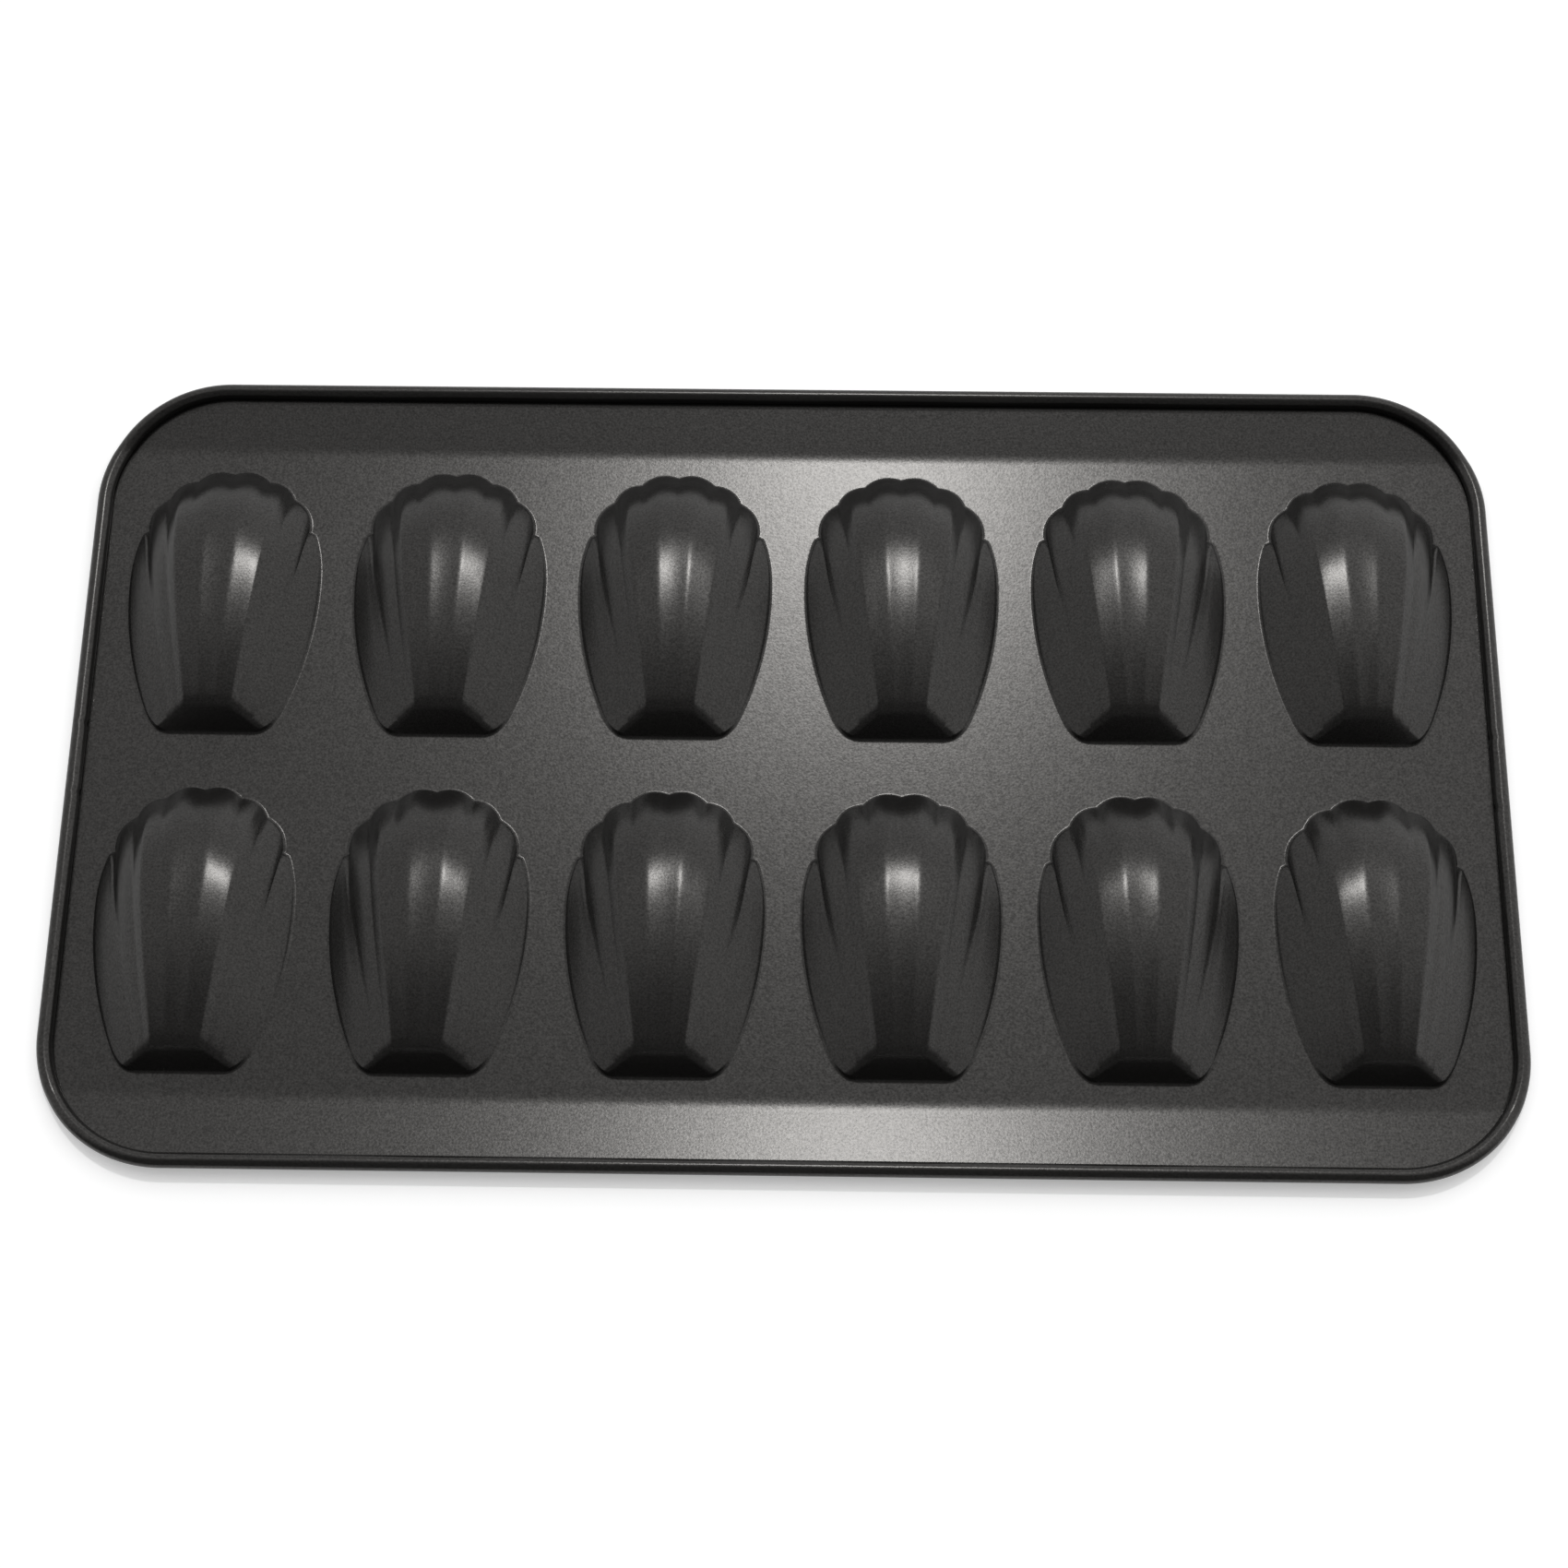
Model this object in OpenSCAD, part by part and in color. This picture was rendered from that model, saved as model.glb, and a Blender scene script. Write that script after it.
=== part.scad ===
// Fluted shell-cake baking pan: one pressed steel sheet with its edge rolled over a wire ring.
// Millimetres. +X along the length, +Y towards the fan end of the cups. The pan lies face down:
// Z = 0 is the baking side of the flat sheet, the cups rise towards +Z and are hollow from below.

/* [Sheet] */
// Thickness of the coated steel sheet
sheet_t = 0.8; // [0.5:0.1:1]
// Outer corner radius of the pan, over the rolled rim
corner_r = 36; // [20:1:44]
// Flat margin from the outer cups to the outside of the rim on the short sides
side_margin = 11.6; // [9:0.2:20]

/* [Raised edge strips] */
// Distance from the cups to the long bend line
bend_margin = 6.9; // [4:0.1:20]
// Width of the strip from the bend line to the outside of the rim, along the sheet
strip_w = 20; // [12:0.5:35]
// Upward tilt of the strip in degrees
strip_tilt = 8; // [2:0.5:20]
// Length of sheet taken up by the rounded bend
bend_w = 3; // [1:0.5:5]

/* [Rolled rim] */
// Diameter of the steel wire inside the rim
wire_d = 2.4; // [1.6:0.1:3.4]
// Clearance between the wire and the rolled sheet
wire_clear = 0.05; // [0.03:0.01:0.15]
// Gap between the two butted ends of the wire
wire_butt = 0.6; // [0.3:0.1:2]
// Gap between the rolled end and the flat sheet
curl_gap = 0.22; // [0.1:0.02:0.6]
// How much the rolled edge waves back and forth round each corner in degrees
corner_wave = 20; // [0:1:40]
// Distance of each small notch in the rolled edge from the middle of the short side
notch_y = 10; // [6:0.5:25]
// Length of each notch along the rim
notch_w = 5; // [2:0.5:8]
// How far each notch cuts the wrap back in degrees
notch_cut = 45; // [0:5:90]

/* [Cup outline] */
// Greatest width of a cup
cup_w = 52.3; // [46:0.1:58]
// Distance from the foot edge up to the widest level
foot_to_widest = 44.5; // [38:0.5:50]
// Distance from the widest level to the middle of the fan edge
widest_to_fan = 33.4; // [28:0.2:40]
// Width of the foot edge, measured to its sharp corners
foot_w = 30.9; // [22:0.1:36]
// Distance beyond the foot edge at which the ribs would meet
rib_focus = 50; // [40:1:80]
// Rise of each lobe of the fan edge as a share of its width
lobe_rise = 0.17; // [0.05:0.01:0.25]
// How far the outermost notch of the fan edge is set in from the side lobe
side_notch = 1.2; // [0:0.1:2]
// Width of the rounded lip between the flat sheet and a cup
lip_r = 0.9; // [0.6:0.1:2]

/* [Cup depth] */
// Depth of a cup between the upper faces of its middle and of the flat sheet
cup_depth = 12.5; // [10:0.1:18]
// Distance from the widest level down to the highest point of a cup's middle line
crest_level = 2.2; // [0:0.2:8]
// Radius of the middle line, seen from the side
crest_r = 125; // [110:5:250]
// Slope of the plain end wall by the foot in degrees
end_slope = 52; // [45:1:72]
// How much the edge between the end wall and the cup is eased
end_ease = 0.8; // [0.4:0.2:4]
// How much the bands between the ridges are hollowed
valley_depth = 0.15; // [0:0.05:0.6]
// How far the outermost ridge lies under the smooth shell of the cup
shoulder_drop = 3.7; // [0:0.1:4.5]

/* [Cup spacing] */
// Gap between neighbouring cups along the pan
cup_gap = 10.6; // [6:0.1:25]
// Gap between the two rows of cups
row_gap = 16.8; // [8:0.1:35]

/* [Hidden] */
rows = ["back", "front"];
columns = 6;
// Angles of the valleys on one side, seen from their meeting point; a ridge runs between each two
rib_angles = [0, 4.55, 8.15, 12.05];
// How far the valley lines and the ridge lines lie under the smooth shell, from the middle outwards
valley_sinks = [for (s = [0, 0.01, 0.41, 0.75]) s * shoulder_drop];
ridge_sinks = [for (s = [0, 0.02, 0.74, 1]) s * shoulder_drop];
last_rib = len(rib_angles) - 1;
outer_hollow = 0.16 * shoulder_drop;
hollows = [valley_depth, valley_depth, 0.7 * valley_depth, outer_hollow];
// How far the ridges and valleys bow outwards half way along, as a share of their distance from the middle
ridge_bow = 0.06;
steps_per_lobe = 4;
ribs_at = steps_per_lobe * (len(rib_angles) - 1);
edge_steps = 2;
last_col = ribs_at + edge_steps;
// Where the mesh rows lie between the end wall and the fan edge
row_shares = [0.035, 0.16, 0.33, 0.5, 0.64, 0.76, 0.87, 0.95, 1];
last_row = len(row_shares) + 1;
wall_share = 0.8;
// The cup's section falls with the power side_power of the distance from the middle, and end_power along it
side_power = 1.6;
end_power = 1.818;
fan_power = 2.2;
// The sinks die out towards the edge with this power of the distance from the middle
sink_fade = 3;
corner_level = 5.8;
foot_corner = 6;

half_w = cup_w / 2;
cup_l = foot_to_widest + widest_to_fan;
// The cup frame has its origin on the widest level
foot_v = -foot_to_widest;
side_r = ((half_w - foot_w / 2) ^ 2 + foot_to_widest ^ 2) / (2 * (half_w - foot_w / 2));

pitch_x = cup_w + cup_gap;
lobe_over = 3.5 * lobe_rise;
pitch_y = cup_l + lobe_over + row_gap;
bend_y = pitch_y / 2 + (cup_l + lobe_over) / 2 + bend_margin;
cup_mid = (widest_to_fan + lobe_over - foot_to_widest) / 2;
wire_r = wire_d / 2;
curl_in = wire_r + wire_clear;
curl_out = curl_in + sheet_t;
curl_wrap = 270 + asin((curl_in - curl_gap) / curl_out);
half_x = ((columns - 1) * pitch_x + cup_w) / 2 + side_margin - curl_out;
half_y = bend_y + strip_w - curl_out;
arc_r = corner_r - curl_out;
arc_x = half_x - arc_r;
arc_y = half_y - arc_r;
bend_from = bend_y - bend_w / 2;
bend_to = bend_y + bend_w / 2;
bend_r = bend_w / (strip_tilt * PI / 180);
arc_steps = 12;
curl_steps = 10;
wire_sides = 12;
coat = [0.23, 0.225, 0.22];
wire_colour = [0.55, 0.55, 0.56];

function unit(v) = v / norm(v);
function mix(a, b, f) = a + (b - a) * f;
function clamp01(f) = max(0, min(1, f));

// Half width of the smooth outline at level v of the cup frame
function side_x(v) = v < 0
    ? half_w - side_r + sqrt(side_r ^ 2 - v ^ 2)
    : half_w * sqrt(max(0, 1 - (v / widest_to_fan) ^ fan_power));

// 0 on the middle of the cup, 1 on its smooth outline
function across(x, v) = (x / side_x(min(v, 0))) ^ 2;
function reach2(x, v) = across(x, v) + (max(v, 0) / widest_to_fan) ^ fan_power;

// Height of the middle line at level v, without the fan end
function crest(v) = cup_depth - (v + crest_level) ^ 2 / (2 * crest_r);

function shell(x, v) =
    let (r = reach2(x, v), w = r > 0 ? across(x, v) / r : 0)
    crest(v) * max(0, 1 - r ^ mix(end_power, side_power, w));
// The shell with its ridges and valleys sunk into it; they fade out at the cup's edge
function body(x, v, sink) =
    shell(x, v) - sink * crest(v) / cup_depth * (1 - min(1, reach2(x, v)) ^ sink_fade);
function end_wall(v) = (v - foot_v) * tan(end_slope);
function eased(a, b) = let (h = clamp01(0.5 + 0.5 * (b - a) / end_ease)) mix(b, a, h) - end_ease * h * (1 - h);

// Share of the way from point a to point b at which the smooth outline is crossed
function outline_share(a, b, lo = 0, hi = 1, n = 24) = n == 0 ? lo
    : let (m = (lo + hi) / 2, p = mix(a, b, m))
      p[1] < widest_to_fan && reach2(p[0], p[1]) < 1
        ? outline_share(a, b, m, hi, n - 1)
        : outline_share(a, b, lo, m, n - 1);

// Share of the way from the foot to the fan at which the end wall meets the body
function crease_share(a, b, sink, lo = 0, hi = 0.6, n = 20) = n == 0 ? hi
    : let (m = (lo + hi) / 2, p = mix(a, b, m))
      end_wall(p[1]) < body(p[0], p[1], sink)
        ? crease_share(a, b, sink, m, hi, n - 1)
        : crease_share(a, b, sink, lo, m, n - 1);

// Column a counts outwards from the middle; its angle as seen from where the ribs meet
function column_angle(a) =
    let (k = min(floor(a / steps_per_lobe), len(rib_angles) - 2))
    mix(rib_angles[k], rib_angles[k + 1], a / steps_per_lobe - k);
function foot_point(a) = [rib_focus * tan(column_angle(a)), foot_v];
function smooth_fan(a) =
    let (f = foot_point(a), far = f + 2 * cup_l * [sin(column_angle(a)), cos(column_angle(a))])
    mix(f, far, outline_share(f, far));
function rib_tip(k) =
    let (p = smooth_fan(k * steps_per_lobe))
    k == len(rib_angles) - 1 ? p - [side_notch, 0] : p;
function fan_point(a) =
    let (k = min(floor(a / steps_per_lobe), len(rib_angles) - 2),
         f = a / steps_per_lobe - k, p = rib_tip(k), q = rib_tip(k + 1),
         out = unit([p[1] - q[1], q[0] - p[0]]))
    mix(p, q, f) + out * norm(q - p) * lobe_rise * 4 * f * (1 - f);

// Rounded corner between the foot edge and the side, f from 0 to 1
function foot_round(f) =
    let (p = foot_point(ribs_at), c = [foot_w / 2, foot_v],
         q = [side_x(foot_v + foot_corner), foot_v + foot_corner])
    mix(mix(p, c, f), mix(c, q, f), f);

function row_share(a, j) =
    let (f = foot_point(a), u = smooth_fan(a), s = crease_share(f, u, rib_sink(a)))
    j == 0 ? 0 : j == 1 ? wall_share * s : mix(s, 1, row_shares[j - 2]);
function side_level(j) = mix(foot_v + foot_corner, corner_level, j == 1 ? 0 : row_shares[j - 2]);
function side_point(j) = j == 0 ? foot_round(0.5) : [side_x(side_level(j)), side_level(j)];
function crescent_top(w) =
    let (v = mix(rib_tip(len(rib_angles) - 1)[1], corner_level, w))
    w == 0 ? rib_tip(len(rib_angles) - 1) : [side_x(v), v];

// Rise of the cup's edge above the flat sheet, inside the rounded lip
edge_rise = lip_r * 0.55;
function height_at(x, v, sink) =
    edge_rise + max(0, eased(body(x, v, sink), end_wall(v))) * (1 - edge_rise / cup_depth);
// 1 in a valley, 0 on a ridge, flat in the valley and sharp on the ridge
function hollow(f) = 1 - (1 - abs(2 * f - 1)) ^ 2;
function rib_sink(a) =
    let (k = min(floor(a / steps_per_lobe), len(rib_angles) - 2), f = a / steps_per_lobe - k)
    f < 0.5 ? mix(valley_sinks[k], ridge_sinks[k], 2 * f) + hollows[k] * hollow(f)
            : mix(ridge_sinks[k], valley_sinks[k + 1], 2 * f - 1) + hollows[k + 1] * hollow(f);
// Sink between the outermost valley and the side, w from 0 to 1
function side_sink(w) =
    let (f = min(w, 0.5))
    mix(valley_sinks[last_rib], ridge_sinks[last_rib], 2 * f) + hollows[last_rib] * hollow(f);

function cup_point(i, j) =
    let (a = abs(i), side = i < 0 ? -1 : 1, p = half_point(a, j))
    [side * p[0], p[1], p[2]];
function half_point(a, j) = a <= ribs_at
    ? let (s = row_share(a, j), bow = 1 + ridge_bow * 4 * s * (1 - s),
           p = mix(foot_point(a), smooth_fan(a), s), q = mix(foot_point(a), fan_point(a), s))
      // away from the edge the height belongs to the point itself, at the edge to the smooth outline
      let (e = mix(q, p, s ^ 6)) [q[0] * bow, q[1], height_at(e[0] * bow, e[1], rib_sink(a))]
    : let (w = (a - ribs_at) / edge_steps, inner = half_point(ribs_at, j), outer = side_point(j),
           p = j == 0 ? foot_round(w / 2) : j == last_row ? crescent_top(w) : mix([inner[0], inner[1]], outer, w))
      [p[0], p[1], height_at(p[0], p[1], side_sink(w))];

// Upper skin of a cup as rows of points from foot to fan, each from left to right
skin = [for (j = [0:last_row]) [for (i = [-last_col:last_col]) cup_point(i, j)]];
cols = 2 * last_col + 1;
rows_n = last_row + 1;
function skin_normal(i, j) =
    let (i0 = max(0, i - 1), i1 = min(cols - 1, i + 1), j0 = max(0, j - 1), j1 = min(last_row, j + 1))
    unit(cross(skin[j1][i] - skin[j0][i], skin[j][i1] - skin[j][i0]));
back_skin = [for (j = [0:last_row]) [for (i = [0:cols - 1]) skin[j][i] + sheet_t * skin_normal(i, j)]];

// The edge of the skin as one loop of [column, row], anticlockwise from the left foot corner
edge_ij = concat(
    [for (i = [0:cols - 2]) [i, 0]],
    [for (j = [0:last_row - 1]) [cols - 1, j]],
    [for (i = [cols - 1:-1:1]) [i, last_row]],
    [for (j = [last_row:-1:1]) [0, j]]);
edge_n = len(edge_ij);
function edge_plan(k) =
    let (e = edge_ij[(k + edge_n) % edge_n])
    [skin[e[1]][e[0]][0], skin[e[1]][e[0]][1]];
// Opening in the flat sheet, one lip radius outside the cup's edge
opening = [for (k = [0:edge_n - 1])
    let (d = unit(edge_plan(k + 1) - edge_plan(k - 1)))
    edge_plan(k) + lip_r * [d[1], -d[0]]];
// Level of the upper face of the flat sheet
deck_z = sheet_t;

skin_pts = [for (r = skin) for (p = r) p];
back_pts = [for (r = back_skin) for (p = r) p];
ring_top = [for (p = opening) [p[0], p[1], 0]];
ring_low = [for (p = opening) [p[0], p[1], -sheet_t]];
skin_n = cols * rows_n;
function at(i, j) = j * cols + i;
function edge_at(k) = at(edge_ij[k % edge_n][0], edge_ij[k % edge_n][1]);
cup_faces = concat(
    [for (j = [0:last_row - 1]) for (i = [0:cols - 2]) for (f = [0, 1])
        f == 0 ? [at(i, j), at(i, j + 1), at(i + 1, j + 1)] : [at(i, j), at(i + 1, j + 1), at(i + 1, j)]],
    [for (j = [0:last_row - 1]) for (i = [0:cols - 2]) for (f = [0, 1])
        f == 0 ? [skin_n + at(i, j), skin_n + at(i + 1, j + 1), skin_n + at(i, j + 1)]
               : [skin_n + at(i, j), skin_n + at(i + 1, j), skin_n + at(i + 1, j + 1)]],
    [for (k = [0:edge_n - 1]) let (t = 2 * skin_n, m = (k + 1) % edge_n) for (f = [0:5])
        f == 0 ? [edge_at(k), edge_at(m), t + m]
      : f == 1 ? [edge_at(k), t + m, t + k]
      : f == 2 ? [t + k, t + m, t + edge_n + m]
      : f == 3 ? [t + k, t + edge_n + m, t + edge_n + k]
      : f == 4 ? [t + edge_n + k, t + edge_n + m, skin_n + edge_at(m)]
      : [t + edge_n + k, skin_n + edge_at(m), skin_n + edge_at(k)]]);

// A point of the unfolded sheet, h above its upper face, carried up round the long bends
function fold(x, y, h) =
    let (u = max(0, abs(y) - bend_from), a = min(strip_tilt, strip_tilt * u / bend_w),
         past = max(0, u - bend_w), side = y < 0 ? -1 : 1,
         fy = min(abs(y), bend_from) + bend_r * sin(a) + past * cos(a),
         fz = bend_r * (1 - cos(a)) + past * sin(a))
    [x, side * (fy - h * sin(a)), fz + h * cos(a)];

// Levels along Y at which the edge of the unfolded sheet gets a point, for one quarter
notch_levels = [notch_y - notch_w / 2, notch_y, notch_y + notch_w / 2];
arc_levels = [for (k = [0:arc_steps]) arc_y + arc_r * sin(90 * k / arc_steps)];
// Levels of the arc nearer than this to the bend are left out
level_clear = bend_w / 6;
bend_levels = [for (k = [0:3]) mix(bend_from, bend_to, k / 3)];
edge_levels = concat(notch_levels,
    [for (y = arc_levels) if (y < bend_from - level_clear) y],
    bend_levels,
    [for (y = arc_levels) if (y > bend_to + level_clear) y]);
function edge_angle(y) = asin(clamp01((y - arc_y) / arc_r));
// Point of the sheet's edge and its outward direction
function edge_point(y) =
    let (a = edge_angle(y))
    [y <= arc_y ? half_x : arc_x + arc_r * cos(a), y, cos(a), sin(a)];
quarter = [for (y = edge_levels) edge_point(y)];
quarter_n = len(quarter);
sheet_edge = concat(
    quarter,
    [for (k = [quarter_n - 1:-1:0]) [-quarter[k][0], quarter[k][1], -quarter[k][2], quarter[k][3]]],
    [for (q = quarter) -q],
    [for (k = [quarter_n - 1:-1:0]) [quarter[k][0], -quarter[k][1], quarter[k][2], -quarter[k][3]]]);
function in_notch(q) = abs(abs(q[1]) - notch_y) < 0.01 ? 1 : 0;
// The waves run over the corner arc and die out at both of its ends
function wave(q) = let (a = edge_angle(abs(q[1]))) sin(2 * a) * (1 + sin(12 * a)) / 2;
function wrap_at(q) = curl_wrap - notch_cut * in_notch(q) - corner_wave * wave(q);
function rim_point(q, r, a) = fold(q[0] + q[2] * r * cos(a), q[1] + q[3] * r * cos(a), curl_in + r * sin(a));
function curl_ring(q) =
    let (w = wrap_at(q))
    concat([for (k = [0:curl_steps]) rim_point(q, curl_out, -90 + w * k / curl_steps)],
           [for (k = [curl_steps:-1:0]) rim_point(q, curl_in, -90 + w * k / curl_steps)]);
function wire_ring(q) = [for (k = [0:wire_sides - 1]) rim_point(q, wire_r, -90 + 360 * k / wire_sides)];

// Solid through a list of rings with the same number of points
module loft(rings, closed) {
    n = len(rings[0]);
    m = len(rings);
    last = closed ? m - 1 : m - 2;
    sides = [for (r = [0:last]) for (k = [0:n - 1]) for (f = [0, 1])
        let (a = r * n + k, b = r * n + (k + 1) % n, c = ((r + 1) % m) * n + k, d = ((r + 1) % m) * n + (k + 1) % n)
        f == 0 ? [a, c, d] : [a, d, b]];
    caps = closed ? [] : [[for (k = [0:n - 1]) k], [for (k = [n - 1:-1:0]) (m - 1) * n + k]];
    polyhedron(points = [for (r = rings) for (p = r) p], faces = concat(sides, caps), convexity = 6);
}

function cup_place(r, c) = [(c - (columns + 1) / 2) * pitch_x, (r == 0 ? 0.5 : -0.5) * pitch_y - cup_mid, 0];

// Flat sheet between the bend lines, with one opening for each cup
module deck() {
    right = [for (q = quarter) if (q[1] < bend_from + 0.01) [q[0], q[1]]];
    n = len(right);
    flat = concat(
        [for (k = [n - 1:-1:0]) [right[k][0], -right[k][1]]],
        right,
        [for (k = [n - 1:-1:0]) [-right[k][0], right[k][1]]],
        [for (p = right) -p]);
    color(coat) translate([0, 0, deck_z - sheet_t]) linear_extrude(sheet_t) difference() {
        polygon(flat);
        for (r = [0, 1]) for (c = [1:columns]) translate(cup_place(r, c)) polygon(opening);
    }
}

// Strip of sheet outside a long bend line, tilted upwards
module strip(side) {
    right = [for (q = quarter) if (q[1] > bend_from - 0.01) q];
    rings = [for (q = right) [
        fold(q[0], q[1], 0), fold(-q[0], q[1], 0), fold(-q[0], q[1], -sheet_t), fold(q[0], q[1], -sheet_t)]];
    color(coat) translate([0, 0, deck_z]) mirror([0, side < 0 ? 1 : 0, 0]) loft(rings, false);
}

// Edge of the sheet, rolled up and inwards over the wire
module rolled_rim() {
    color(coat) translate([0, 0, deck_z]) loft([for (q = sheet_edge) curl_ring(q)], true);
}

// Wire ring inside the rolled edge; its ends butt in the middle of the left side
module rim_wire() {
    half = 2 * quarter_n;
    ends = [[-half_x, wire_butt / 2, -1, 0], [-half_x, -wire_butt / 2, -1, 0]];
    path = concat([ends[1]],
        [for (k = [0:half - 1]) sheet_edge[(k + half) % (2 * half)]],
        [for (k = [0:half - 1]) sheet_edge[k]],
        [ends[0]]);
    color(wire_colour) translate([0, 0, deck_z]) loft([for (q = path) wire_ring(q)], false);
}

// One cup, pressed out of the flat sheet
module cup(r, c) {
    color(coat) translate(cup_place(r, c) + [0, 0, deck_z])
        polyhedron(points = concat(skin_pts, back_pts, ring_top, ring_low), faces = cup_faces, convexity = 6);
}

function cup_name(r, c) = str("cup_", rows[r], "_", c);

deck();
strip(1);  // back_strip
strip(-1);  // front_strip
rolled_rim();
rim_wire();
for (r = [0, 1]) for (c = [1:columns]) cup(r, c);
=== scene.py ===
# Looks for a dark non-stick madeleine pan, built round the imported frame
import math
import bmesh
import bpy
import numpy as np
from mathutils import Matrix, Vector


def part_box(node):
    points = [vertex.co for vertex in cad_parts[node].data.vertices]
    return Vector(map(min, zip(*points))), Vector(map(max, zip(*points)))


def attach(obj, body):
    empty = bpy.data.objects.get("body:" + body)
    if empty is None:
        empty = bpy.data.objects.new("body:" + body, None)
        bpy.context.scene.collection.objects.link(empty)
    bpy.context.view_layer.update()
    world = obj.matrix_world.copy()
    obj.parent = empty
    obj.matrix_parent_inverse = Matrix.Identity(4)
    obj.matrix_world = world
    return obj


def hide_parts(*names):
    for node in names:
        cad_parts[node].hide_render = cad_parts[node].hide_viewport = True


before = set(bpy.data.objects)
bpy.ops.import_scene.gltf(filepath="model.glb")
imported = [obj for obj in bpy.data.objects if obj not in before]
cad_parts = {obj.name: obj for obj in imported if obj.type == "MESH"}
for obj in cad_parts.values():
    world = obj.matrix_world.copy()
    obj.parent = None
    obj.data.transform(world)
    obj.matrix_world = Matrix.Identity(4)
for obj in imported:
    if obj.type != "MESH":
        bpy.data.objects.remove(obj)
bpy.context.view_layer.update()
mm = 0.001
print("frame loaded")

cupNodes = [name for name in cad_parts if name.startswith("cup_")]


def mix(a, b, f):
    return a + (b - a) * f


# One cup, in millimetres, seen from outside; its own frame has the widest level at 0 and the fan edge at +Y
cup = dict(
    halfWidth=26.15, footLevel=-44.5, fanLevel=33.4, footHalf=15.45, footCorner=6.0, cornerLevel=5.8,
    ribFocus=50.0, valleyAngles=[0, 4.55, 8.15, 12.05], valleySinks=[0, 0.04, 1.52, 2.77],
    ridgeSinks=[0, 0.07, 2.74, 3.7], hollows=[0.15, 0.15, 0.1, 0.6], ridgeBow=0.06, ridgeRound=0.1,
    lobeRise=0.17, sideNotch=1.2, depth=12.5, crestLevel=-2.2, fanRadius=125.0, footRadius=150.0,
    endSlope=55.0, endEase=0.8, sideFade=3.0, fanFade=1.3, sidePower=1.6, endPower=1.818, fanPower=2.2,
    lip=0.9, lipPower=2.4, edgeRise=0.495,
    lobeSteps=12, crescentSteps=12, wallRows=12, shellRows=40, lipSteps=4,
    rowPower=1.3, edgePower=6, cornerPower=12, halvings=40, farthest=120.0, wallShare=0.6,
)
narrowing = cup["halfWidth"] - cup["footHalf"]
sideRadius = (narrowing ** 2 + cup["footLevel"] ** 2) / (2 * narrowing)


def sideX(v):
    below = cup["halfWidth"] - sideRadius + np.sqrt(sideRadius ** 2 - np.minimum(v, 0) ** 2)
    share = np.clip(np.maximum(v, 0) / cup["fanLevel"], 0, 1)
    return np.where(v < 0, below, cup["halfWidth"] * np.sqrt(1 - share ** cup["fanPower"]))


def across(x, v):
    return (x / sideX(np.minimum(v, 0))) ** 2


def reach(x, v):
    # 0 on the middle of the cup, 1 on its smooth outline
    return across(x, v) + (np.maximum(v, 0) / cup["fanLevel"]) ** cup["fanPower"]


def crest(v):
    radius = np.where(v < cup["crestLevel"], cup["footRadius"], cup["fanRadius"])
    return cup["depth"] - (v - cup["crestLevel"]) ** 2 / (2 * radius)


def shell(x, v):
    r = reach(x, v)
    sideways = across(x, v) / np.maximum(r, 1e-9)
    return crest(v) * np.maximum(0, 1 - r ** mix(cup["endPower"], cup["sidePower"], sideways))


def endWall(v):
    return (v - cup["footLevel"]) * math.tan(math.radians(cup["endSlope"]))


def softMin(a, b, k):
    h = np.clip(0.5 + 0.5 * (b - a) / k, 0, 1)
    return b + (a - b) * h - k * h * (1 - h)


def sunk(f):
    # 1 in a valley, 0 on the slightly rounded ridge half way between two valleys
    rounding = cup["ridgeRound"]
    low = 1 - (1 - rounding / math.hypot(1, rounding)) ** 2
    near = np.sqrt((2 * f - 1) ** 2 + rounding ** 2) / math.hypot(1, rounding)
    return (1 - (1 - near) ** 2 - low) / (1 - low)


def body(x, v, sink):
    # the shell with its ridges and valleys sunk into it; they fade out at the edge
    r = reach(x, v)
    fade = mix(cup["fanFade"], cup["sideFade"], across(x, v) / np.maximum(r, 1e-9))
    return shell(x, v) - sink * crest(v) / cup["depth"] * (1 - np.minimum(1, r) ** fade)


def heightAt(x, v, sink):
    # height over the flat sheet
    rise = np.maximum(0, softMin(body(x, v, sink), endWall(v), cup["endEase"]))
    return cup["edgeRise"] + rise * (1 - cup["edgeRise"] / cup["depth"])


def bisect(inside, lo, hi):
    for _ in range(cup["halvings"]):
        m = (lo + hi) / 2
        ok = inside(m)
        lo, hi = np.where(ok, m, lo), np.where(ok, hi, m)
    return lo


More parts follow.
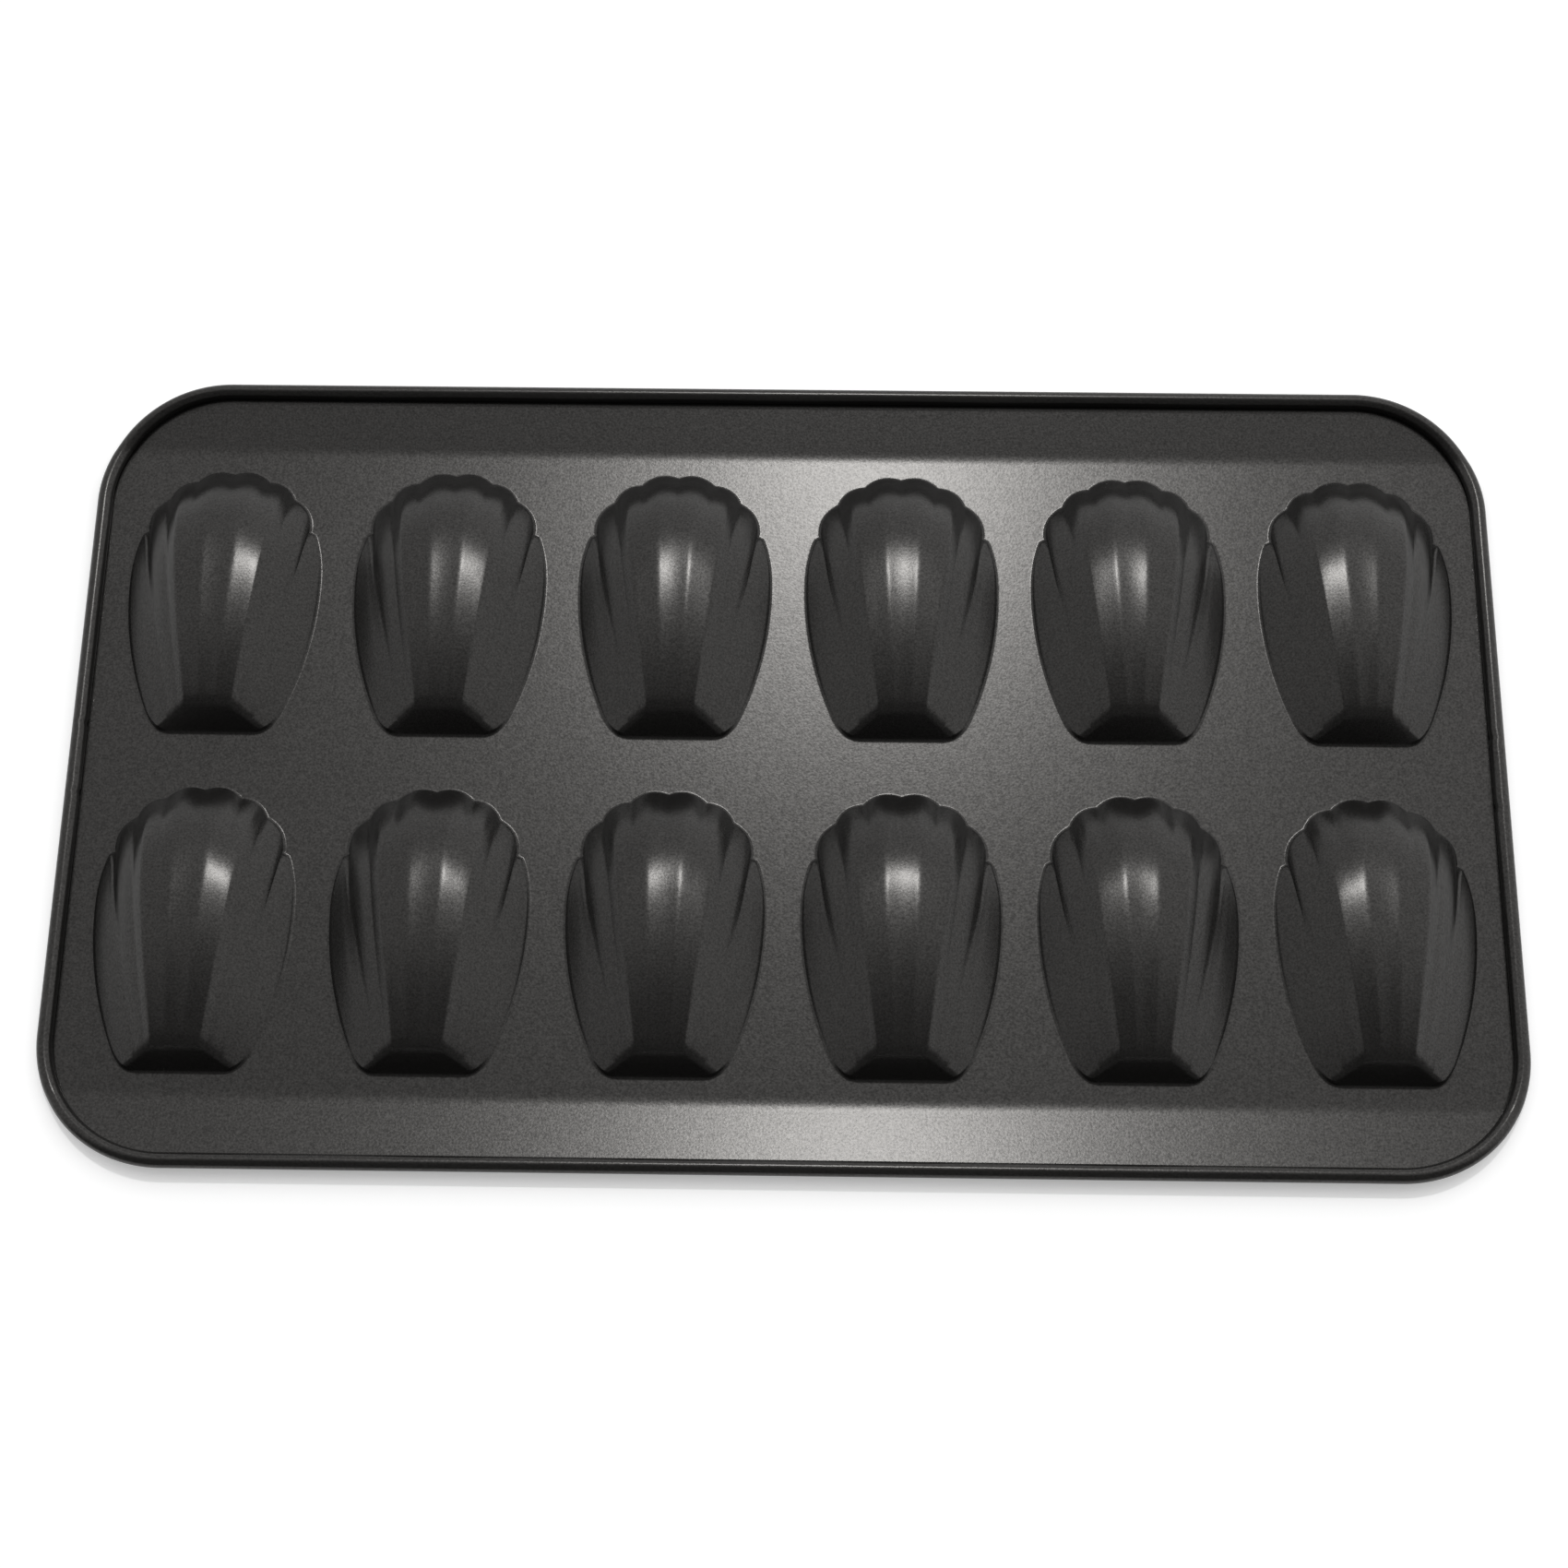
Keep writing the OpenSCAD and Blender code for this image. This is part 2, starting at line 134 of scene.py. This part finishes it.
def cupSkin():
    # right half: one column for each step between the valley lines, rows from the foot to the fan edge
    valleys, ridges, hollows = (np.array(cup[name]) for name in ("valleySinks", "ridgeSinks", "hollows"))
    angles = np.radians(cup["valleyAngles"])
    lobes = len(angles) - 1
    a = np.linspace(0, lobes, lobes * cup["lobeSteps"] + 1)
    k = np.minimum(np.floor(a).astype(int), lobes - 1)
    f = a - k
    angle = mix(angles[k], angles[k + 1], f)
    foot = np.stack([cup["ribFocus"] * np.tan(angle), np.full_like(a, cup["footLevel"])], 1)
    ray = np.stack([np.sin(angle), np.cos(angle)], 1)
    far = bisect(lambda s: (foot[:, 1] + s * ray[:, 1] < cup["fanLevel"])
                 & (reach(foot[:, 0] + s * ray[:, 0], foot[:, 1] + s * ray[:, 1]) < 1),
                 np.zeros_like(a), np.full_like(a, cup["farthest"]))
    smooth = foot + ray * far[:, None]
    tips = smooth[::cup["lobeSteps"]].copy()
    tips[-1, 0] -= cup["sideNotch"]
    chord = tips[k + 1] - tips[k]
    width = np.linalg.norm(chord, axis=1)
    out = np.stack([-chord[:, 1], chord[:, 0]], 1) / width[:, None]
    fan = tips[k] + chord * f[:, None] + out * (width * cup["lobeRise"] * 4 * f * (1 - f))[:, None]
    firstHalf = f < 0.5
    sink = np.where(firstHalf, mix(valleys[k], ridges[k], 2 * f), mix(ridges[k], valleys[k + 1], 2 * f - 1))
    sink += np.where(firstHalf, hollows[k], hollows[k + 1]) * sunk(f)
    onWall = bisect(lambda s: endWall(mix(foot[:, 1], smooth[:, 1], s))
                    < body(mix(foot[:, 0], smooth[:, 0], s), mix(foot[:, 1], smooth[:, 1], s), sink),
                    np.zeros_like(a), np.full_like(a, cup["wallShare"]))
    lower = np.linspace(0, 1, cup["wallRows"] + 1)[:-1]
    shares = 1 - (1 - np.linspace(0, 1, cup["shellRows"] + 1)) ** cup["rowPower"]
    s = np.concatenate([onWall * lower[:, None], mix(onWall, 1.0, shares[:, None])])
    bow = 1 + cup["ridgeBow"] * 4 * s * (1 - s)
    base = mix(foot, smooth, s[..., None])
    plan = mix(foot, fan, s[..., None])
    base[..., 0] *= bow
    plan[..., 0] *= bow
    # away from the edge the height belongs to the point itself, at the edge to the smooth outline
    taken = mix(plan, base, s[..., None] ** cup["edgePower"])
    height = heightAt(taken[..., 0], taken[..., 1], sink)
    # crescent between the outermost valley and the side
    w = np.arange(1, cup["crescentSteps"] + 1) / cup["crescentSteps"]
    cornerFrom, cornerTo = foot[-1], np.array([cup["footHalf"], cup["footLevel"]])
    cornerLevel = cup["footLevel"] + cup["footCorner"]
    cornerEnd = np.array([float(sideX(cornerLevel)), cornerLevel])

    def corner(t):
        return mix(mix(cornerFrom, cornerTo, t), mix(cornerTo, cornerEnd, t), t)

    low = len(lower)
    level = mix(cornerLevel, cup["cornerLevel"], shares)
    edge = np.array([corner(mix(0.5, 1.0, j / low)) for j in range(low)]
                    + [(float(sideX(v)), v) for v in level])
    inner = plan[:, -1]
    side = mix(inner[:, None], edge[:, None], w[None, :, None])
    top = mix(tips[-1, 1], cup["cornerLevel"], w)
    along = np.linspace(0, 1, len(s))[:, None, None]
    side += along ** cup["cornerPower"] * (np.stack([sideX(top), top], 1) - side[-1])
    side += (1 - along) ** cup["cornerPower"] * (np.array([corner(t / 2) for t in w]) - side[0])
    up = np.minimum(w, 0.5)
    sideSink = mix(valleys[-1], ridges[-1], 2 * up) + hollows[-1] * sunk(up)
    sideHeight = heightAt(side[..., 0], side[..., 1], sideSink)
    skin = np.concatenate([np.dstack([plan, height]), np.dstack([side, sideHeight])], 1)
    return np.concatenate([skin[:, :0:-1] * [-1, 1, 1], skin], 1)


def edgeLoop(rows, cols):
    loop = [(0, i) for i in range(cols - 1)]
    loop += [(j, cols - 1) for j in range(rows - 1)]
    loop += [(rows - 1, i) for i in range(cols - 1, 0, -1)]
    loop += [(j, 0) for j in range(rows - 1, 0, -1)]
    return loop


# The flat sheet, its raised edge strips and the rolled rim, in millimetres
sheet = dict(thickness=0.8, cornerRadius=36.0, bendLevel=93.8, stripWidth=20.0, stripTilt=8.0, bendLength=3.0,
             wireRadius=1.2, wireClear=0.05, curlGap=0.225, curlStart=-90.0, cornerWave=20.0, waveCount=12,
             notchAt=10.0, notchWidth=5.0, notchCut=45.0, flatRing=0.5, stripColumns=96, arcSteps=48,
             curlSteps=22, sideStep=4.0, bendSteps=4, nearNotch=0.7, nearBend=0.4)
curlIn = sheet["wireRadius"] + sheet["wireClear"]
curlOut = curlIn + sheet["thickness"]
curlWrap = 270 + math.degrees(math.asin((curlIn - sheet["curlGap"]) / curlOut))
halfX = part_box("rolled_rim")[1][0] / mm - curlOut
halfY = sheet["bendLevel"] + sheet["stripWidth"] - curlOut
arcRadius = sheet["cornerRadius"] - curlOut
arcX, arcY = halfX - arcRadius, halfY - arcRadius
bendFrom = sheet["bendLevel"] - sheet["bendLength"] / 2
bendRadius = sheet["bendLength"] / math.radians(sheet["stripTilt"])
stripFrom = bendFrom - sheet["bendLength"] / sheet["bendSteps"]
deckLevel = sheet["thickness"]   # upper face of the flat sheet
slack = 1e-6                     # for comparing places on the edge


def fold(p):
    # carries points of the unfolded sheet up round its long bends
    x, y, h = np.asarray(p, float).T
    u = np.maximum(0, np.abs(y) - bendFrom)
    a = np.radians(np.minimum(sheet["stripTilt"], sheet["stripTilt"] * u / sheet["bendLength"]))
    past = np.maximum(0, u - sheet["bendLength"])
    fy = np.minimum(np.abs(y), bendFrom) + bendRadius * np.sin(a) + past * np.cos(a)
    fz = bendRadius * (1 - np.cos(a)) + past * np.sin(a)
    return np.stack([x, np.where(y < 0, -1, 1) * (fy - h * np.sin(a)), fz + h * np.cos(a)], 1)


def edgeQuarter():
    # edge of the unfolded sheet, middle of the right side to middle of the back: x, y, outward x, y
    levels = np.arange(0, arcY, sheet["sideStep"])
    near = sheet["notchAt"] + sheet["notchWidth"] / 2 * np.array([-1, -0.5, 0, 0.5, 1])
    clear = sheet["notchWidth"] * sheet["nearNotch"]
    levels = np.array(sorted([y for y in levels if abs(y - sheet["notchAt"]) > clear] + list(near)))
    inside = arcRadius - sheet["flatRing"]
    bendStep = sheet["bendLength"] / sheet["bendSteps"]
    bends = [bendFrom + bendStep * k for k in range(-1, sheet["bendSteps"] + 2)]
    bendAngles = [math.asin((y - arcY) / inside) for y in bends]
    step = math.pi / 2 / sheet["arcSteps"]
    arc = [t for t in np.arange(0, sheet["arcSteps"] + 1) * step
           if min(abs(t - b) for b in bendAngles) > step * sheet["nearBend"]]
    arc = np.array(sorted(arc + bendAngles))
    along = np.linspace(arcX, 0, sheet["stripColumns"] // 2 + 1)[1:]
    one, none = np.ones_like(levels), np.zeros_like(along)
    cosines, sines = np.cos(arc), np.sin(arc)
    return np.concatenate([
        np.stack([halfX * one, levels, one, 0 * one], 1),
        np.stack([arcX + arcRadius * cosines, arcY + arcRadius * sines, cosines, sines], 1),
        np.stack([along, none + halfY, none, none + 1], 1)])


def edgePath(quarter):
    upper = np.concatenate([quarter, (quarter * [-1, 1, -1, 1])[::-1][1:]])
    return np.concatenate([upper, (upper * [1, -1, 1, -1])[::-1][1:-1]])


def curlWrapAt(path):
    notch = np.clip(1 - np.abs(np.abs(path[:, 1]) - sheet["notchAt"]) / (sheet["notchWidth"] / 2), 0, 1)
    notch *= np.abs(path[:, 2]) > 1 - slack
    angle = np.arctan2(np.abs(path[:, 3]), np.abs(path[:, 2]))
    wave = np.sin(2 * angle) * (1 + np.sin(sheet["waveCount"] * angle)) / 2
    return curlWrap - sheet["notchCut"] * notch - sheet["cornerWave"] * wave


class SheetMesh:
    digits = 4   # points that agree to this many places are one

    def __init__(self):
        self.bm = bmesh.new()
        self.known = {}

    def vert(self, p):
        key = tuple(round(c, self.digits) for c in p)
        if key not in self.known:
            self.known[key] = self.bm.verts.new((p[0] * mm, p[1] * mm, (p[2] + deckLevel) * mm))
        return self.known[key]

    def line(self, points):
        return [self.vert(p) for p in points]

    def face(self, verts):
        verts = [v for i, v in enumerate(verts) if v is not verts[i - 1]]
        if len(verts) > 2 and not self.bm.faces.get(verts):
            self.bm.faces.new(verts)

    def bridge(self, first, second, closed):
        for n in range(len(first) - (0 if closed else 1)):
            m = (n + 1) % len(first)
            self.face([first[n], second[n], second[m], first[m]])

    def fill(self, loops):
        edges = []
        for loop in loops:
            for n in range(len(loop)):
                pair = (loop[n - 1], loop[n])
                edges.append(self.bm.edges.get(pair) or self.bm.edges.new(pair))
        up = Vector((0, 0, 1))
        bmesh.ops.triangle_fill(self.bm, use_beauty=True, use_dissolve=False, edges=edges, normal=up)


def addCups(mesh):
    # the outermost ring of each cup, in the flat sheet, is handed back
    skin = cupSkin()
    rows, cols = skin.shape[:2]
    edge = np.array([skin[j, i] for j, i in edgeLoop(rows, cols)])
    along = np.roll(edge, -1, 0)[:, :2] - np.roll(edge, 1, 0)[:, :2]
    along /= np.linalg.norm(along, axis=1, keepdims=True)
    outward = np.stack([along[:, 1], -along[:, 0]], 1)
    rings = []
    for t in np.arange(1, cup["lipSteps"] + 2) / cup["lipSteps"]:
        height = edge[:, 2] * max(0, 1 - t) ** cup["lipPower"]
        rings.append(np.column_stack([edge[:, :2] + outward * cup["lip"] * t, height]))
    holes = []
    for name in cupNodes:
        lo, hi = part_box(name)
        place = np.array([(lo[0] + hi[0]) / 2 / mm, lo[1] / mm + cup["lip"] - cup["footLevel"], 0])
        grid = [mesh.line(row + place) for row in skin]
        for lower, upper in zip(grid, grid[1:]):
            mesh.bridge(lower, upper, False)
        last = [grid[j][i] for j, i in edgeLoop(rows, cols)]
        for ring in rings:
            here = mesh.line(ring + place)
            mesh.bridge(last, here, True)
            last = here
        holes.append(last)
    print("cups pressed:", len(holes))
    return holes


def addStrips(mesh, quarter):
    # the raised strips outside the two long bends; the line where each starts is handed back
    inset = quarter[:, :2] - quarter[:, 2:] * sheet["flatRing"]
    ends = inset[(inset[:, 1] > stripFrom - slack) & (quarter[:, 2] > slack)]
    spread = np.linspace(-1, 1, sheet["stripColumns"] + 1)
    starts = {}
    for side in (1, -1):
        lines = [mesh.line(fold([(width * s, level * side, 0) for s in spread])) for width, level in ends]
        for lower, upper in zip(lines, lines[1:]):
            mesh.bridge(lower, upper, False)
        starts[side] = lines[0]
    return starts


def addRim(mesh, path, last):
    # the upper skin of the sheet is the inside of the roll, which starts at its lowest point
    wrap = curlWrapAt(path)
    for s in range(sheet["curlSteps"] + 1):
        t = np.radians(sheet["curlStart"] + wrap * s / sheet["curlSteps"])
        out = (curlIn * np.cos(t))[:, None]
        turn = np.column_stack([path[:, :2] + path[:, 2:] * out, curlIn + curlIn * np.sin(t)])
        here = mesh.line(fold(turn))
        mesh.bridge(last, here, True)
        last = here
    print("rim rolled")


def panMesh():
    mesh = SheetMesh()
    holes = addCups(mesh)
    quarter = edgeQuarter()
    path = edgePath(quarter)
    starts = addStrips(mesh, quarter)
    inset = path[:, :2] - path[:, 2:] * sheet["flatRing"]
    ring = mesh.line(fold(np.column_stack([inset, np.zeros(len(path))])))
    flat = [n for n in range(len(path)) if abs(inset[n, 1]) < stripFrom - slack]
    right = sorted([ring[n] for n in flat if inset[n, 0] > 0], key=lambda v: v.co.y)
    left = sorted([ring[n] for n in flat if inset[n, 0] < 0], key=lambda v: -v.co.y)
    mesh.fill([right + starts[1][::-1] + left + starts[-1]] + holes)
    addRim(mesh, path, ring)
    bm = mesh.bm
    bmesh.ops.recalc_face_normals(bm, faces=bm.faces)
    if sum(f.normal.z * f.calc_area() for f in bm.faces) < 0:
        bmesh.ops.reverse_faces(bm, faces=bm.faces)
    data = bpy.data.meshes.new("pan_sheet")
    bm.to_mesh(data)
    bm.free()
    return data


def principled(name, colour, roughness, metallic=0.0):
    m = bpy.data.materials.new(name)
    m.use_nodes = True
    shader = m.node_tree.nodes["Principled BSDF"]
    shader.inputs["Base Color"].default_value = (*colour, 1)
    shader.inputs["Roughness"].default_value = roughness
    shader.inputs["Metallic"].default_value = metallic
    return m, m.node_tree, shader


def mathNode(tree, operation, first, second):
    node = tree.nodes.new("ShaderNodeMath")
    node.operation = operation
    for socket, value in zip(node.inputs, (first, second)):
        if isinstance(value, (int, float)):
            socket.default_value = value
        else:
            tree.links.new(value, socket)
    return node.outputs[0]


def rangeNode(tree, value, low, high, toLow, toHigh, kind="LINEAR"):
    node = tree.nodes.new("ShaderNodeMapRange")
    node.interpolation_type = kind
    for name, number in (("From Min", low), ("From Max", high), ("To Min", toLow), ("To Max", toHigh)):
        node.inputs[name].default_value = number
    tree.links.new(value, node.inputs["Value"])
    return node.outputs[0]


def grainNode(tree, scale, detail):
    place = tree.nodes.new("ShaderNodeTexCoord")
    grain = tree.nodes.new("ShaderNodeTexNoise")
    grain.inputs["Scale"].default_value = scale
    grain.inputs["Detail"].default_value = detail
    tree.links.new(place.outputs["Object"], grain.inputs["Vector"])
    return grain.outputs["Fac"]


# A satin coating whose fine pebbled grain shows mainly as glitter
coating = dict(colour=(0.006, 0.0057, 0.0055), pale=(0.011, 0.0105, 0.01), roughness=(0.22, 0.27),
               specular=(0.26, 0.54), specularTint=(1.0, 0.975, 0.945), grainSpread=(0.3, 0.7),
               grainScale=1700.0, grainDetail=3, grainBump=0.06, bumpDepth=0.0002)


def coatingMaterial():
    m, tree, shader = principled("non_stick_coating", coating["colour"], coating["roughness"][1])
    new, link = tree.nodes.new, tree.links.new
    grain = grainNode(tree, coating["grainScale"], coating["grainDetail"])
    tint = new("ShaderNodeMix")
    tint.data_type = "RGBA"
    tint.inputs["A"].default_value = (*coating["colour"], 1)
    tint.inputs["B"].default_value = (*coating["pale"], 1)
    link(grain, tint.inputs["Factor"])
    link(tint.outputs["Result"], shader.inputs["Base Color"])
    link(rangeNode(tree, grain, 0, 1, *coating["roughness"]), shader.inputs["Roughness"])
    shine = rangeNode(tree, grain, *coating["grainSpread"], *coating["specular"])
    link(shine, shader.inputs["Specular IOR Level"])
    shader.inputs["Specular Tint"].default_value = (*coating["specularTint"], 1)
    bump = new("ShaderNodeBump")
    bump.inputs["Strength"].default_value = coating["grainBump"]
    bump.inputs["Distance"].default_value = coating["bumpDepth"]
    link(grain, bump.inputs["Height"])
    link(bump.outputs["Normal"], shader.inputs["Normal"])
    return m


def buildPan():
    me = panMesh()
    pan = bpy.data.objects.new("pan_sheet", me)
    bpy.context.collection.objects.link(pan)
    for poly in me.polygons:
        poly.use_smooth = True
    thick = pan.modifiers.new("thickness", "SOLIDIFY")
    thick.thickness = sheet["thickness"] * mm
    thick.offset = -1
    thick.use_even_offset = True
    me.materials.append(coatingMaterial())
    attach(pan, "root")
    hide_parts(*[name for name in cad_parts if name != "rim_wire"])
    print("pan sheet built")
    return pan


wire = dict(colour=(0.45, 0.45, 0.46), roughness=0.35, drawnRoughness=(0.28, 0.45), drawnScale=400)


def wireMaterial():
    m, tree, shader = principled("drawn_wire", wire["colour"], wire["roughness"], 1.0)
    lines = tree.nodes.new("ShaderNodeTexNoise")
    lines.inputs["Scale"].default_value = wire["drawnScale"]
    drawn = rangeNode(tree, lines.outputs["Fac"], 0, 1, *wire["drawnRoughness"])
    tree.links.new(drawn, shader.inputs["Roughness"])
    return m


def dressWire():
    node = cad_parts["rim_wire"]
    node.data.materials.clear()
    node.data.materials.append(wireMaterial())
    print("wire dressed")


studio = dict(floorSize=12, floorColour=(0.9, 0.9, 0.9), floorRoughness=0.9, floorLift=0.3,
              keyPlace=(129.0, 3200.0, 6000.0), keySize=(300.0, 160.0), keyRadiance=630.0,
              skyDark=0.2, skyBright=1.12, skyFrom=-0.05, skyTo=0.42, skySide=0.5, skyRight=0.15,
              rightSpread=0.35)


def buildFloor():
    bpy.ops.mesh.primitive_plane_add(size=studio["floorSize"], location=(0, 0, 0))
    floor = bpy.context.object
    floor.name = "studio_floor"
    m, tree, shader = principled("floor_paper", studio["floorColour"], studio["floorRoughness"])
    path = tree.nodes.new("ShaderNodeLightPath")
    seen = mathNode(tree, "MAXIMUM", path.outputs["Is Camera Ray"], path.outputs["Is Glossy Ray"])
    seen = mathNode(tree, "MAXIMUM", seen, path.outputs["Is Transmission Ray"])
    shader.inputs["Emission Color"].default_value = (1, 1, 1, 1)
    tree.links.new(mathNode(tree, "MULTIPLY", seen, studio["floorLift"]), shader.inputs["Emission Strength"])
    floor.data.materials.append(m)


def buildSky():
    # a soft sky: bright behind the pan, less so at its sides, dim overhead and in front
    world = bpy.data.worlds.new("studio")
    bpy.context.scene.world = world
    world.use_nodes = True
    tree = world.node_tree
    place = tree.nodes.new("ShaderNodeTexCoord")
    axes = tree.nodes.new("ShaderNodeSeparateXYZ")
    tree.links.new(place.outputs["Generated"], axes.inputs[0])
    x, y, _ = axes.outputs
    side = mathNode(tree, "MULTIPLY", mathNode(tree, "ABSOLUTE", x, 0.0), studio["skySide"])
    level = rangeNode(tree, mathNode(tree, "ADD", side, y), studio["skyFrom"], studio["skyTo"],
                      studio["skyDark"], studio["skyBright"], "SMOOTHSTEP")
    # a little brighter on the right than on the left
    spread, more = studio["rightSpread"], studio["skyRight"]
    tilt = rangeNode(tree, x, -spread, spread, 1 - more, 1 + more, "SMOOTHSTEP")
    level = mathNode(tree, "MULTIPLY", level, tilt)
    background = tree.nodes["Background"]
    background.inputs["Color"].default_value = (1, 1, 1, 1)
    tree.links.new(level, background.inputs["Strength"])


def buildStudio():
    buildFloor()
    buildSky()
    light = bpy.data.lights.new("key_softbox", "AREA")
    light.shape = "RECTANGLE"
    light.size, light.size_y = [s * mm for s in studio["keySize"]]
    light.energy = studio["keyRadiance"] * math.pi * light.size * light.size_y
    key = bpy.data.objects.new("key_softbox", light)
    key.location = Vector(studio["keyPlace"]) * mm
    key.rotation_euler = (-Vector(key.location)).to_track_quat("-Z", "Y").to_euler()
    bpy.context.collection.objects.link(key)
    bpy.context.scene.view_settings.view_transform = "Standard"
    print("studio lit")


# Camera fitted to the photograph: it stands in front of the pan and looks down at it
view = dict(elevation=69.35, yaw=-2.117, roll=-1.347, across=0.541, up=4.575, distance=748.7,
            focal=63.3, sensor=36.0, clipStart=0.01)


def buildCamera():
    e, y, r = (math.radians(view[k]) for k in ("elevation", "yaw", "roll"))
    right = Vector((math.cos(y), -math.sin(y), 0))
    up = Vector((math.sin(y) * math.sin(e), math.cos(y) * math.sin(e), math.cos(e)))
    ahead = Vector((math.sin(y) * math.cos(e), math.cos(y) * math.cos(e), -math.sin(e)))
    place = -(right * view["across"] + up * view["up"] + ahead * view["distance"])
    turned = right * math.cos(r) + up * math.sin(r)
    top = up * math.cos(r) - right * math.sin(r)
    data = bpy.data.cameras.new("photo_view")
    data.lens, data.sensor_width = view["focal"], view["sensor"]
    data.clip_start = view["clipStart"]
    camera = bpy.data.objects.new("photo_view", data)
    spin = Matrix((turned, top, -ahead)).transposed().to_4x4()
    camera.matrix_world = Matrix.Translation((place + Vector((0, 0, deckLevel))) * mm) @ spin
    bpy.context.collection.objects.link(camera)
    bpy.context.scene.camera = camera
    print("camera placed")


buildCamera()
buildPan()
dressWire()
buildStudio()
